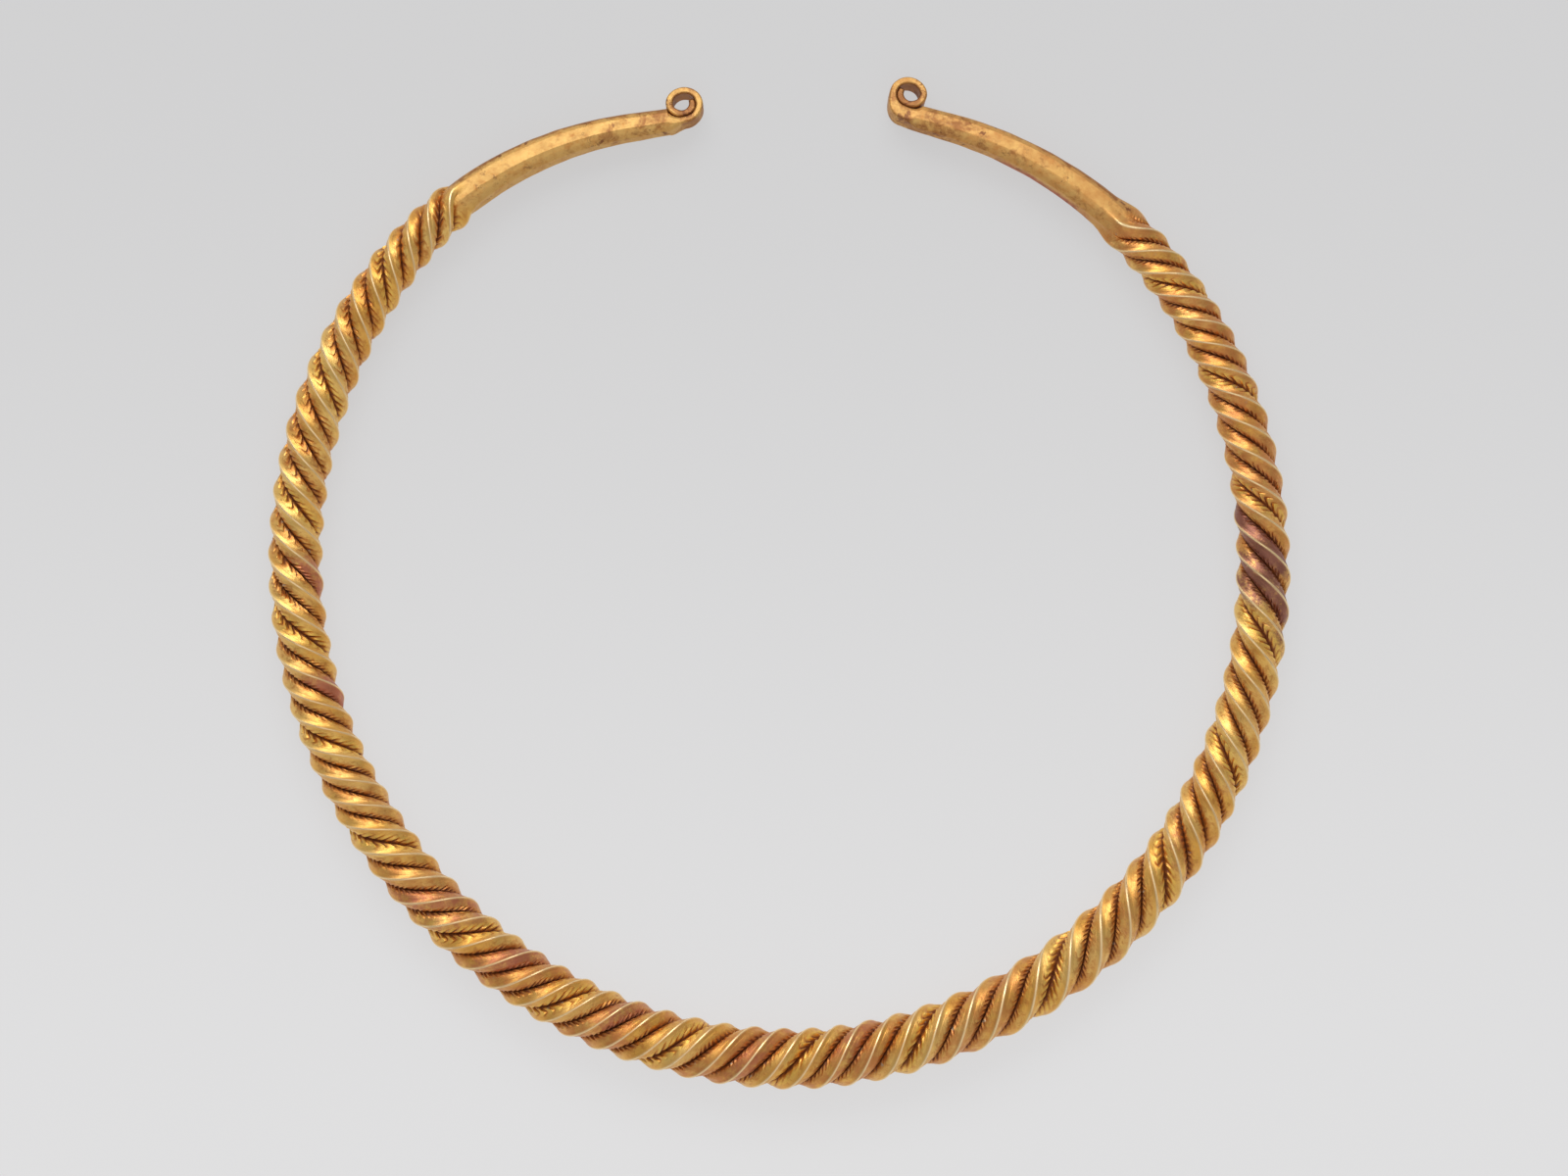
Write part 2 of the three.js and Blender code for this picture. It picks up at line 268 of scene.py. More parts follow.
# Depths in millimetres, and how much longer the leafy barbs and the leaves are than other barbs.
BARB_DEPTH, LEAFY_DEPTH, LEAF_DEPTH = 0.23, 0.08, 0.3
LEAFY_LENGTHENING, LEAF_LENGTH = 1.3, 1.8
# Each barb's own strength, length in degrees round the bar, and shift along it in millimetres.
STRENGTHS = (0.45, 1.3)
LENGTHS = (3.5, 9.5)
SHIFTS = (-0.07, 0.07)
# Slow changes along the grooves, with one value every KNOT_STEP: how strong the cuts are, how many degrees
# the groove wanders, and how far the ridges swell, as a part of the crest radius.
KNOT_STEP = 9.0
KNOTS = int(2 * TWIST_HALF_LENGTH / KNOT_STEP) + 3
CLOSED_WEAR = (0.6, 1.2)
OPEN_WEAR = (0.85, 1.25)
WANDER = (-2.0, 2.0)
SWELL = (-0.012, 0.012)
# Degrees from the groove: its bed, past which a cut grows shallower, and where cuts and raised edges fade.
OPEN_BED, CLOSED_BED = 10.0, 8.0
CUT_FADE = (40, 30)
RAISED_FADE = (28, 14)
# Stations where the rows straighten and the cuts run out, short of the plain ends.
ROWS_STRAIGHTEN = (184.0, 176.0)
CUTS_RUN_OUT = (185.0, 181.5)


def lean(from_groove):
    """How far a column's points run ahead along the bar, so that the rows follow forward barbs."""
    at_crest = (BARB_NEAR + BARB_FAR) / 2
    ahead = (at_crest, BARB_NEAR, 0.0, BARB_FAR, at_crest)
    return np.interp(from_groove, (-45, -BARB_REACH, 0, BARB_REACH, 45), ahead)


def forward_barbs(station):
    """1 where the barbs spread forward, 0 where they spread back."""
    middle = smooth(station, *BACK_FROM) * smooth(station, *BACK_TO)
    return (1 - middle) * smooth(station, *BACK_AT_LEFT_END)


# ---------------------------------------------------------------- sections


def along_bar(table, station, groove):
    """Slow changes along each groove, from a table of values every KNOT_STEP."""
    place = np.clip((station + TWIST_HALF_LENGTH) / KNOT_STEP + 1, 0, table.shape[1] - 1.001)
    low = place.astype(int)
    t = place - low
    t = t * t * (3 - 2 * t)
    return table[groove, low] * (1 - t) + table[groove, low + 1] * t


def barb_rows(rows):
    """For every row and groove: which barb or leaf it is in, its rise, and its push in row steps."""
    row = np.arange(len(rows))[:, None]
    groove = np.arange(RIDGES)[None, :]
    barb, barb_row = np.divmod(row + groove, len(BARB_RISE))
    leaf, leaf_row = np.divmod(row + 2 * groove, len(LEAF_RISE))
    is_leaf = (groove == OPEN_GROOVE) | (rows < LEAVES_END)[:, None]
    which = np.where(is_leaf, leaf, barb)
    rise = np.where(is_leaf, np.choose(leaf_row, LEAF_RISE), np.choose(barb_row, BARB_RISE))
    push = np.where(is_leaf, np.choose(leaf_row, LEAF_PUSH), np.choose(barb_row, BARB_PUSH))
    return which, rise, push


def twisted(rows):
    """Stations, up and outward offsets, hollowness for painted shade and the leaves' painted highlight of
    the twisted bar's rows.
    """
    rng = np.random.default_rng(SEED)
    count = len(rows)
    barb, rise, push = barb_rows(rows)
    side = (FROM_GROOVE > 0).astype(int)

    def for_each_barb(limits):
        return rng.uniform(*limits, (RIDGES, 2, count))[GROOVE_OF, side, barb[:, GROOVE_OF]]

    strength = for_each_barb(STRENGTHS)
    reach = for_each_barb(LENGTHS)
    jitter = for_each_barb(SHIFTS)
    wear = rng.uniform(*CLOSED_WEAR, (RIDGES, KNOTS))
    wear[OPEN_GROOVE] = rng.uniform(*OPEN_WEAR, KNOTS)
    wander = rng.uniform(*WANDER, (RIDGES, KNOTS))
    swell = rng.uniform(*SWELL, (RIDGES, KNOTS))

    # How much of a cut reaches each column.
    groove = np.broadcast_to(GROOVE_OF, (count, AROUND))
    is_open = groove == OPEN_GROOVE
    away = np.abs(FROM_GROOVE)
    far = np.clip(away - np.where(is_open, OPEN_BED, CLOSED_BED), 0, None)
    near = np.clip(CLOSED_BED - away, 0, None) / CLOSED_BED
    leafy = smooth(rows, LEAFY_FROM, LEAFY_FULL)[:, None]
    reach = reach * np.where(is_open, LEAF_LENGTH, 1 + LEAFY_LENGTHENING * leafy)
    weight = np.exp(-((far / reach) ** 2)) * (1 - 0.7 * near)
    weight = weight * smooth(away, *CUT_FADE)

    # The rows lean along the barbs, and each barb is pushed a little along the bar.
    forward = forward_barbs(rows)[:, None]
    straight = smooth(np.abs(rows), *ROWS_STRAIGHTEN)[:, None]
    ahead = lean(FROM_GROOVE) * forward - lean(-FROM_GROOVE) * (1 - forward)
    pushed = (push[:, GROOVE_OF] * ROW_STEP + jitter) * np.exp(-((away / 24) ** 2)) * (2 * forward - 1)
    station = rows[:, None] + (ahead + pushed) * straight

    # The cuts change the radius, and turn the edges of a barb toward the groove.
    amount = strength * along_bar(wear, station, groove) * smooth(np.abs(station), *CUTS_RUN_OUT)
    cut = rise[:, GROOVE_OF] * amount * weight
    cut = np.where(cut > 0, cut * smooth(away, *RAISED_FADE), cut)
    outward = -np.sign(FROM_GROOVE)
    closing = np.where(is_open, 0.8, 1.2) * cut * outward
    opening = np.where(is_open & (away < 20), -OPEN_TURN, 0.0) * outward
    shape = SECTION + np.where(is_open & (away < 1), OPEN_RISE, 0.0)
    shape = shape + along_bar(swell, station, groove) * (away < 25)
    depth = np.where(is_open, LEAF_DEPTH, BARB_DEPTH + LEAFY_DEPTH * leafy)
    radius = crest_radius(station) * shape + depth * cut
    drift = along_bar(wander, station, groove) * (1 - away / 45)
    turned = np.radians(closing + opening + drift)
    angle = first_crest_angle(quarter_turns(station)) + TWIST_ANGLES + turned

    hollow = CAVITY * np.where(is_open & (away > 5), 0.6, 1.0)
    # The barbs' cuts add to the hollowness, so their dark lines are painted shade.
    cavity = np.clip(hollow + 0.85 * np.clip(-cut, 0, 1), 0, 1)
    # Painted highlight: the raised leaves of the open groove are marked to be painted bright.
    leaf = is_open * smooth(away, 32, 20) * smooth(away, 4, 9) * smooth(-cut, 0.5, 0.0)
    return station, radius * np.cos(angle), radius * np.sin(angle), cavity, leaf


def box_loop(half_up, low, high, cut):
    """Sixteen points of a box with cut corners, from the middle of its upper face toward outward."""
    half_up, low, high, cut = np.broadcast_arrays(half_up, low, high, cut)
    middle, half_out = (low + high) / 2, (high - low) / 2
    zero = np.zeros(middle.shape)
    quarter = [
        (half_up, zero),
        (half_up, half_out - cut),
        (half_up - cut * ROUNDING, half_out - cut * ROUNDING),
        (half_up - cut, half_out),
        (zero, half_out),
    ]
    loop = quarter + [(-u, v) for u, v in reversed(quarter[1:4])]
    loop += [(-u, -v) for u, v in quarter[:4]] + [(u, -v) for u, v in reversed(quarter[1:5])]
    return np.array([u for u, _ in loop]), np.array([v for _, v in loop]) + middle


def on_loop(loop, side):
    """Points of a sixteen-point loop at this side's column angles. The loop's rows are its last axis."""
    turns = FIRST_QUARTER_TURN if side < 0 else LAST_QUARTER_TURN
    start = round(first_crest_angle(turns) / math.radians(22.5))
    position = np.degrees(END_ANGLES) / 22.5 + start
    low = np.floor(position).astype(int)
    t = (position - low)[:, None]
    u, v = [(part[low % 16] * (1 - t) + part[(low + 1) % 16] * t).T for part in loop]
    return u, v


def flat_to_centre(distance):
    """Half the width across the plain bar's flats, and how far along the taper that is."""
    t = np.clip((distance - BAR_START) / (EYE_STATION - SHOULDER - BAR_START), 0, 1)
    return BAR_FLAT_START + (BAR_FLAT_END - BAR_FLAT_START) * t, t


def plain_bar(station, side):
    """Offsets of the eight-sided bar for each row station."""
    flat, t = flat_to_centre(np.abs(station))
    shift = ENDS[side]["bar_shift"] * t * t
    return on_loop(box_loop(flat, shift - flat, shift + flat, flat * OCTAGON_CUT), side)


def inner_turn_centre(end):
    """Where the eye's tighter turn has its centre, along the bar and outward of its end."""
    gap = OUTER_TURN_RADIUS - INNER_TURN_RADIUS
    return gap * math.cos(TURN_CHANGE), end["eye_offset"] + gap * math.sin(TURN_CHANGE)


# ---------------------------------------------------------------- rows of points

BAR_CAVITY = 0.06
# Coordinates along and across the barbs, for the metal's grain: step per row, degrees to a step, and the
# distance that keeps one groove's grain apart from the next.
WEAVE_ROW = 0.5
WEAVE_DEGREES = 12
WEAVE_APART = 7.0


def main_rows():
    """The bar between the two shoulders: points, and what each one is."""
    reach = TWIST_ROWS_END
    twist = np.linspace(-reach, reach, round(2 * reach / ROW_STEP) + 1)
    plain = np.linspace(reach, EYE_STATION - SHOULDER, END_ROWS + 1)[1:]
    rows = np.concatenate([-plain[::-1], twist, plain])
    station, u, v, cavity, leaf = twisted(rows)
    early = GROOVE_ENDS_EARLY * smooth(np.abs(FROM_GROOVE), *EARLY_COLUMNS)
    blend = smooth(np.abs(rows)[:, None] + early, BLEND_START, BAR_START)
    for side in (-1, 1):
        here = (np.sign(rows) == side)[:, None]
        plain_u, plain_v = plain_bar(rows, side)
        t = np.where(here, blend, 0)
        u = u + (plain_u - u) * t
        v = v + (plain_v - v) * t
    centre, _, up, out = frames(station)
    points = centre + up * u[..., None] + out * v[..., None]
    ridge = np.round(TWIST_ANGLES / (math.pi / 2)).astype(int) % RIDGES
    along = np.arange(len(rows))[:, None] * WEAVE_ROW
    weave = np.stack(np.broadcast_arrays(along, FROM_GROOVE / WEAVE_DEGREES, GROOVE_OF * WEAVE_APART), -1)
    return {
        "points": points,
        "station": station,
        "cavity": cavity * (1 - blend) + BAR_CAVITY * blend,
        "leaf": leaf * (1 - blend),
        "arris": ARRIS * (1 - blend),
        "ridge": np.broadcast_to(ridge, station.shape),
        "plain": np.broadcast_to(blend, station.shape),
        "weave": weave,
    }


def shoulder_rows(side):
    """The bar's end, hollowed where the coil sits on it, thinning to the strip."""
    end = ENDS[side]
    along = np.linspace(-SHOULDER, 0, SHOULDER_ROWS + 2)[1:-1]
    coil_x, coil_y = inner_turn_centre(end)
    clear = INNER_TURN_RADIUS + STRIP_THICKNESS / 2 + COIL_GAP
    flat, shift = BAR_FLAT_END, end["bar_shift"]
    strip_low = end["eye_offset"] - OUTER_TURN_RADIUS - STRIP_THICKNESS / 2 - end["root_extra"]
    high = np.minimum(shift + flat, coil_y - np.sqrt(np.clip(clear**2 - (along - coil_x) ** 2, 0, None)))
    t = smooth(along, -SHOULDER, -0.5)
    low = (shift - flat) + (strip_low - shift + flat) * smooth(along, -SHOULDER, 0)
    cut = np.minimum(flat * OCTAGON_CUT * (1 - t) + STRIP_ROUND * t, (high - low) * 0.3)
    half = flat + (end["strip_half"] - flat) * t
    u, v = on_loop(box_loop(half, low, high, cut), side)
    centre, _, up, out = side_frames(side * (EYE_STATION + along), side)
    return centre[:, None] + up[:, None] * u[..., None] + out[:, None] * v[..., None]


def curl_rows(side):
    """The strip curled round into the eye, from the bar to its tip, which lies close inside."""
    end = ENDS[side]
    centre, travel, up, out = side_frames(np.array(side * EYE_STATION), side)
    turn = np.linspace(CURL_START, CURL_END, CURL_ROWS)
    outer = turn <= TURN_CHANGE
    radius = np.where(outer, OUTER_TURN_RADIUS, INNER_TURN_RADIUS)
    coil_x, coil_y = inner_turn_centre(end)
    x = np.where(outer, 0, coil_x) + radius * np.cos(turn)
    y = np.where(outer, end["eye_offset"], coil_y) + radius * np.sin(turn)
    middle = centre + travel * x[:, None] + out * y[:, None]
    inward = -(travel * np.cos(turn)[:, None] + out * np.sin(turn)[:, None])
    degrees = np.degrees(turn)
    thickness = STRIP_THICKNESS + (TIP_THICKNESS - STRIP_THICKNESS) * smooth(degrees, *TIP_THINNING)
    extra = end["root_extra"] * (1 - smooth(degrees, -90, -90 + end["root_fade"]))
    to_centre = np.hypot(x, y - end["eye_offset"])
    space = OUTER_TURN_RADIUS - STRIP_THICKNESS / 2 - to_centre - thickness / 2
    extra = extra + np.clip(space - INNER_SWELL - FILLED_GAP, 0, None) * smooth(degrees, *GAP_FILLING)
    swell = INNER_SWELL * smooth(degrees, *SWELLING)
    half = end["strip_half"] - INNER_STEP * smooth(degrees, *TIP_STEPPING)
    half = half * (1 - TIP_NARROWED * smooth(degrees, *TIP_NARROWING))
    u, v = on_loop(box_loop(half, -thickness / 2 - extra, thickness / 2 + swell, STRIP_ROUND), side)
    return middle[:, None] + up * u[..., None] + inward[:, None] * v[..., None]


# ---------------------------------------------------------------- colour regions

# Reddish places on a ridge: station, angle there from the top toward outward, half length, strength.
RED_PATCHES = (
    (-115, -70, 4.5, 0.75),
    (-95.8, -50, 4.4, 1.0),
    (-60, -15, 9.0, 0.6),
    (-55, -28, 5.0, 0.5),
    (-43, -5, 6.0, 0.75),
    (-41, -66, 4.0, 0.7),
    (-23, -30, 5.0, 0.7),
    (-3, -37, 4.5, 0.5),
    (15, -30, 6.0, 0.5),
    (60, 0, 6.0, 0.3),
    (76, 7, 6.0, 0.4),
    (88, -10, 6.0, 0.35),
)
PURPLE_PATCHES = (
    (111, 40, 3.5, 0.5),
    (116.5, 43, 4.3, 0.8),
    (118.5, -22, 4.0, 0.6),
    (120.5, 22, 4.6, 0.8),
    (124.5, -33, 4.6, 0.85),
    (130, -50, 4.0, 0.85),
)
# The reddish inner edge of the right bar: station, angle, half length, half width in degrees.
RED_EDGE = (195, -92, 10, 30)
COPPERY_RIDGES = (0.3, 0.9, 1.0, 0.35)
COPPER_CENTRE = -12
COPPER_HALF_LENGTH = 62
RIGHT_COPPER = 0.9
RIGHT_COPPER_STATIONS = (110, 134)
PLAIN_COPPER_LOSS = 0.65
# Brown film: on the eye, more in its hole and between its rims, and on the bar's outer and lower sides.
EYE_FILM, HOLE_FILM, STRIP_FILM = 0.38, 0.8, 0.25
OUTER_FILM, LOWER_FILM = 0.75, 0.4
EYE_EDGE = (4.2, 3.0)
HOLE_EDGE = (2.2, 1.7)
RIM_WIDTH = 0.5
NEAR_EYE = (200, 216)


def brown_film(points, station):
    """How much brown film the plain ends and the eyes carry."""
    film = np.zeros(station.shape)
    for side in (-1, 1):
        end = ENDS[side]
        centre, travel, up, out = side_frames(np.array(side * EYE_STATION), side)
        away = points - centre - out * end["eye_offset"]
        x, y, z = (away * travel).sum(-1), (away * out).sum(-1), (away * up).sum(-1)
        from_middle = np.hypot(x, y)
        in_eye = smooth(from_middle, *EYE_EDGE)
        hole = smooth(from_middle, *HOLE_EDGE)
        inner = smooth(np.abs(z), end["strip_half"], end["strip_half"] - RIM_WIDTH)
        eye = in_eye * np.clip(EYE_FILM + HOLE_FILM * hole + STRIP_FILM * inner, 0, 1)
        bar_centre, _, _, bar_out = frames(station)
        beside = ((points - bar_centre) * bar_out).sum(-1)
        above = (points - bar_centre)[..., 2]
        bar = np.maximum(OUTER_FILM * smooth(beside, 1.0, 1.9), LOWER_FILM * smooth(above, 0.0, -1.5))
        near_eye = smooth(np.abs(station), *NEAR_EYE)
        bar = np.maximum(bar, end["film"] * (0.7 + 0.9 * near_eye))
        here = station < 0 if side < 0 else station > 0
        film = np.where(here, np.maximum(eye, bar * (1 - in_eye)), film)
    return film


def ridge_patches(patches, station, ridge):
    """Strength of patches that each lie on one ridge."""
    strengths = np.zeros(station.shape)
    for place, toward, length, strength in patches:
        first_crest = first_crest_angle(quarter_turns(np.array(float(place))))
        turned = math.radians(toward) - BAR_ROLL - first_crest
        same = ridge == round(float(turned) / (math.pi / 2)) % RIDGES
        patch = strength * same * np.exp(-(((station - place) / length) ** 4))
        strengths = np.maximum(strengths, patch)
    return strengths


def red_edge(points, station):
    """The reddish inner edge of the right bar."""
    centre, _, up, out = frames(station)
    away = points - centre
    outward = up[..., :2] * math.sin(BAR_ROLL) + out[..., :2] * math.cos(BAR_ROLL)
    angle = np.degrees(np.arctan2((away[..., :2] * outward).sum(-1), away[..., 2]))
    place, toward, length, width = RED_EDGE
    turned = (angle - toward + 180) % 360 - 180
    return np.exp(-(((station - place) / length) ** 4) - (turned / width) ** 4)


# ---------------------------------------------------------------- the skin

# Noise scales per millimetre, and depths in millimetres.
DENT_SCALE, DENT_DEPTH = 0.34, 0.035
DIMPLE_SCALE, DIMPLE_DEPTH = 0.9, 0.014
RUB_SCALE = 0.12
# How hollow the shoulders and eyes are, and every value at the middle of each tip.
END_CAVITY = 0.08
TIP_VALUE = 0.1
SHARP_ANGLE = math.radians(34)


def extended(middle, ends, value):
    """Values of the bar's rows, with one value on all the rows of the two ends."""
    left, right = [np.full((len(end),) + middle.shape[1:], value, middle.dtype) for end in ends]
    return np.concatenate([left, middle, right])


def coppery(station, ridge, plain):
    """How coppery the gold is: some ridges, mostly at the front, and the rest of the right side."""
    front = np.exp(-(((station - COPPER_CENTRE) / COPPER_HALF_LENGTH) ** 4))
    copper = np.array(COPPERY_RIDGES)[ridge] * (0.25 + 0.75 * front)
    copper = np.maximum(copper, RIGHT_COPPER * smooth(station, *RIGHT_COPPER_STATIONS))
    return copper * (1 - PLAIN_COPPER_LOSS * plain)


def skin_rows():
    """The skin's points in millimetres, row by row, and the values at each of them."""
    bar = main_rows()
    parts = {side: np.concatenate([shoulder_rows(side), curl_rows(side)]) for side in (-1, 1)}
    ends = (parts[-1][::-1], parts[1])
    points = np.concatenate([ends[0], bar["points"], ends[1]])
    station = extended(bar["station"], ends, EYE_STATION)
    station[: len(ends[0])] *= -1
    ridge = extended(bar["ridge"], ends, 0)
    plain = extended(bar["plain"], ends, 1.0)
    values = {
        "cavity": extended(bar["cavity"], ends, END_CAVITY),
        "leaf": extended(bar["leaf"], ends, 0.0),
        "arris": extended(bar["arris"], ends, 0.0),
        "plain": plain,
        "film": brown_film(points, station) * plain,
        "red": np.maximum(ridge_patches(RED_PATCHES, station, ridge), red_edge(points, station)),
        "purple": ridge_patches(PURPLE_PATCHES, station, ridge),
        "copper": coppery(station, ridge, plain),
        "rub": noise_grid(points, RUB_SCALE, 3),
    }
    return points, values, extended(bar["weave"], ends, 0.0)


def dented(points, centre, plain):
    """The points with small dents, shallower on the twist, and kept inside the CAD's box."""
    outward = points - centre
    outward /= np.linalg.norm(outward, axis=-1, keepdims=True)
    dents = noise_grid(points, DENT_SCALE, 1) * DENT_DEPTH
    dents = dents + noise_grid(points, DIMPLE_SCALE, 2) * DIMPLE_DEPTH
    points = points + outward * (dents * (0.5 + 0.5 * plain))[..., None]
    lowest, highest = np.array(CAD_BOX) * 1000
    return np.clip(points, lowest, highest)


def make_skin():
    """One closed mesh of all the rows, with a fan of triangles over each tip."""
    points, values, weave = skin_rows()
    centre = points.mean(1, keepdims=True)
    points = dented(points, centre, values["plain"])

    rows = len(points)
    vertices = np.concatenate([points.reshape(-1, 3), centre[0], centre[-1]]) / 1000
    first, last = rows * AROUND, rows * AROUND + 1
    index = np.arange(rows * AROUND).reshape(rows, AROUND)
    following = np.roll(index, -1, axis=1)
    quads = np.stack([index[:-1], following[:-1], following[1:], index[1:]], -1).reshape(-1, 4)
    caps = [(first, following[0, k], index[0, k]) for k in range(AROUND)]
    caps += [(last, index[-1, k], following[-1, k]) for k in range(AROUND)]
    mesh = bpy.data.meshes.new("torc_skin")
    mesh.from_pydata(vertices.tolist(), [], quads.tolist() + caps)
    for name, value in values.items():
        layer = mesh.attributes.new(name, "FLOAT", "POINT")
        with_tips = np.concatenate([value.ravel(), [TIP_VALUE, TIP_VALUE]])
        layer.data.foreach_set("value", with_tips.astype(np.float32))
    layer = mesh.attributes.new("weave", "FLOAT_VECTOR", "POINT")
    with_tips = np.concatenate([weave.ravel(), np.zeros(6)])
    layer.data.foreach_set("vector", with_tips.astype(np.float32))
    mesh.shade_smooth()
    mesh.set_sharp_from_angle(angle=SHARP_ANGLE)
    mesh.update()
    body = bpy.data.objects.new("torc_skin", mesh)
    bpy.context.scene.collection.objects.link(body)
    return body


# ---------------------------------------------------------------- the metal


class Nodes:
    """Small helper that adds and links shader nodes. Noise scales are per metre."""

    def __init__(self, material):
        material.use_nodes = True
        self.tree = material.node_tree
        self.tree.nodes.clear()

    def add(self, kind, **settings):
        node = self.tree.nodes.new("ShaderNode" + kind)
        for name, value in settings.items():
            setattr(node, name, value)
        return node

    def link(self, source, target):
        self.tree.links.new(source, target)

    def feed(self, socket, value):
        if isinstance(value, bpy.types.NodeSocket):
            self.link(value, socket)
        else:
            socket.default_value = value

    def attribute(self, name):
        return self.add("Attribute", attribute_name=name).outputs["Fac"]

    def noise(self, scale, detail=3.0, roughness=0.55, distortion=0.0):
        place = self.add("TexCoord").outputs["Object"]
        node = self.add("TexNoise")
        self.link(place, node.inputs["Vector"])
        node.inputs["Scale"].default_value = scale
        node.inputs["Detail"].default_value = detail
        node.inputs["Roughness"].default_value = roughness
        node.inputs["Distortion"].default_value = distortion
        return node.outputs["Fac"]

    def grain(self, stretch, detail):
        """Noise drawn out along the ridges or along the barbs."""
        node = self.add("TexNoise")
        stretched = self.add("VectorMath", operation="MULTIPLY")
        self.link(self.add("Attribute", attribute_name="weave").outputs["Vector"], stretched.inputs[0])
        stretched.inputs[1].default_value = stretch
        self.link(stretched.outputs[0], node.inputs["Vector"])
        node.inputs["Scale"].default_value = 1.0
        node.inputs["Detail"].default_value = detail
        return node.outputs["Fac"]

    def math(self, operation, a, b=0.0):
        node = self.add("Math", operation=operation)
        self.feed(node.inputs[0], a)
        self.feed(node.inputs[1], b)
        return node.outputs[0]

    def ramp(self, value, low, high, to_low=0.0, to_high=1.0):
        node = self.add("MapRange", interpolation_type="SMOOTHSTEP")
        self.feed(node.inputs["Value"], value)
        limits = {"From Min": low, "From Max": high, "To Min": to_low, "To Max": to_high}
        for name, number in limits.items():
            node.inputs[name].default_value = number
        return node.outputs["Result"]

    def mix(self, factor, a, b):
        node = self.add("Mix", data_type="RGBA")
        self.feed(node.inputs[0], factor)
        self.feed(node.inputs[6], a)
        self.feed(node.inputs[7], b)
        return node.outputs[2]


YELLOW_GOLD = (0.87, 0.46, 0.085, 1)
PALE_GOLD = (0.96, 0.63, 0.19, 1)
# Painted shade for low places.
DEEP_GOLD_SHADE = (0.66, 0.27, 0.05, 1)
DULL_GOLD = (0.78, 0.485, 0.155, 1)
# Crest wear with a painted highlight.
CREST_WEAR_AND_HIGHLIGHT = (1.0, 0.75, 0.4, 1)
COPPER_GOLD = (0.66, 0.26, 0.075, 1)
# Painted highlight on the leaves.
LEAF_HIGHLIGHT_GOLD = (1.0, 0.64, 0.13, 1)
RED_STAIN = (0.53, 0.165, 0.095, 1)
PURPLE_STAIN = (0.29, 0.105, 0.08, 1)
# Painted shade and dirt in the grooves.
GROOVE_SHADE_AND_DIRT = (0.25, 0.072, 0.02, 1)
FILM_BROWN = (0.4, 0.155, 0.045, 1)
STAIN_BROWN = (0.26, 0.09, 0.035, 1)
EARTH = (0.42, 0.33, 0.22, 1)
TARNISH = (0.56, 0.21, 0.04, 1)
BUMP_DEPTH = 0.00018
# The skin's own values that the metal reads.
MARKS = ("cavity", "arris", "plain", "red", "purple", "copper", "rub", "film", "leaf")


def centred(n, value, amount):
    """A noise moved to lie about zero, times an amount."""
    return n.math("MULTIPLY", n.math("SUBTRACT", value, 0.5), amount)


def base_gold(n, mark, grain):
    """Yellow and pale gold in streaks, duller on the plain ends."""
    tone = n.math("ADD", grain["broad"], n.math("MULTIPLY", mark["rub"], 0.2))
    tone = n.math("ADD", tone, centred(n, grain["streak"], 0.25))
    colour = n.mix(n.ramp(tone, 0.3, 0.72), YELLOW_GOLD, PALE_GOLD)
    return n.mix(mark["plain"], colour, DULL_GOLD)


def lowness(n, mark, grain):
    """How low a place lies, broken up by the mottling and by the barbs: where shade is painted."""
    low = n.math("ADD", mark["cavity"], centred(n, grain["mottle"], 0.7))
    return n.math("ADD", low, centred(n, grain["barb"], 0.8))


def with_tarnish(n, colour, mark, grain, low):
    """Deeper gold painted as shade in low places, tarnish in blots off the crests, and coppery metal."""
    # Painted shade: low places turn to a deeper, redder gold.
    colour = n.mix(n.ramp(low, 0.02, 0.5, 0.0, 0.8), colour, DEEP_GOLD_SHADE)
    blots = n.math("ADD", n.noise(760, 6, 0.7, 0.6), n.math("MULTIPLY", low, 0.12))
    blots = n.math("MULTIPLY", n.ramp(blots, 0.5, 0.63, 0.0, 0.62), n.ramp(mark["arris"], 0.5, 0.0))
    blots = n.math("MULTIPLY", blots, n.ramp(mark["plain"], 1.0, 0.0, 0.35, 1.0))
    colour = n.mix(blots, colour, TARNISH)
    coppery_noise = n.math("ADD", grain["mottle"], n.math("MULTIPLY", grain["broad"], 0.6))
    copper = n.math("MULTIPLY", mark["copper"], n.ramp(coppery_noise, 0.5, 0.95))
    return n.mix(copper, colour, COPPER_GOLD)


def with_stains(n, colour, mark, grain):
    """Red and purple stains on single ridges, with broken edges."""
    edge = n.math("MULTIPLY", grain["mottle"], 0.6)
    edge = n.math("ADD", edge, n.math("MULTIPLY", grain["fine"], 0.4))
    edge = centred(n, edge, 2.2)
    red = n.ramp(n.math("ADD", mark["red"], edge), 0.2, 1.0)
    red = n.math("MULTIPLY", red, n.ramp(mark["red"], 0.02, 0.4, 0.0, 0.9))
    colour = n.mix(red, colour, RED_STAIN)
    purple = n.ramp(n.math("ADD", mark["purple"], edge), 0.25, 0.8)
    purple = n.math("MULTIPLY", purple, n.ramp(mark["purple"], 0.02, 0.5, 0.0, 0.92))
    return n.mix(purple, colour, PURPLE_STAIN)


def with_film(n, colour, mark, grain):
    """Brown film and darker spots on the plain ends and the eyes."""
    held = n.ramp(mark["film"], 0.0, 0.3, 0.0, 0.85)
    blotch = n.math("MULTIPLY", n.noise(420, 7, 0.7, 0.5), 1.6)
    blotch = n.math("ADD", blotch, n.math("MULTIPLY", grain["fine"], 0.3))
    filmed = n.ramp(n.math("ADD", blotch, n.math("MULTIPLY", mark["film"], 0.55)), 1.08, 1.42)
    colour = n.mix(n.math("MULTIPLY", filmed, held), colour, FILM_BROWN)
    spots = n.math("ADD", n.noise(380, 7, 0.72, 0.5), n.math("MULTIPLY", mark["film"], 0.06))
    spots = n.ramp(spots, 0.6, 0.66)
    return n.mix(n.math("MULTIPLY", spots, held), colour, STAIN_BROWN)


